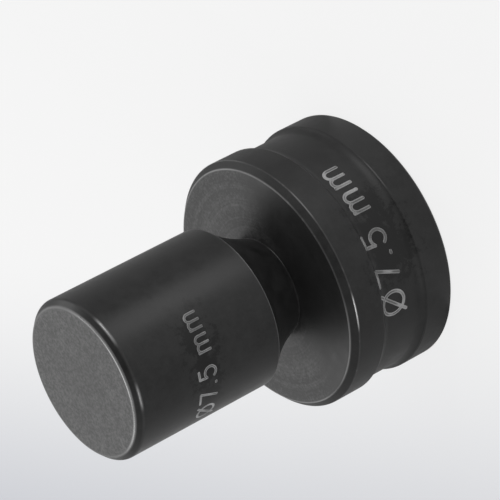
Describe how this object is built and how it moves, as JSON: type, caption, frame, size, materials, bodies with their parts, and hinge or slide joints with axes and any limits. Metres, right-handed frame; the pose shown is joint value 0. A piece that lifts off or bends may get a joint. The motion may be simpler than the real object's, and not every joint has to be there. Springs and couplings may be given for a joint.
{
  "type": "hole punch and die",
  "caption": "Round hydraulic hole punch with a plain shank and a tapering hollow nose, its tip standing in the bore of a grooved round die.",
  "frame": {"origin": "centre of the die's base, on the surface that the set stands on", "axes": "+Z along the common axis of die and punch, from the die's base to the punch's butt; the set is round, so +X and +Y are free"},
  "size_m": [0.0313, 0.0312, 0.0423],
  "materials": {
    "die_steel": "black oxide over turned steel, satin",
    "punch_steel": "black oxide over ground steel, satin"
  },
  "bodies": {
    "die": {"die": "die_steel"},
    "punch": {"punch": "punch_steel"}
  },
  "joints": [
    {"name": "punch_stroke", "type": "slide", "parent": "die", "child": "punch", "axis": [0, 0, 1], "range_m": [0, 0.022]}
  ]
}
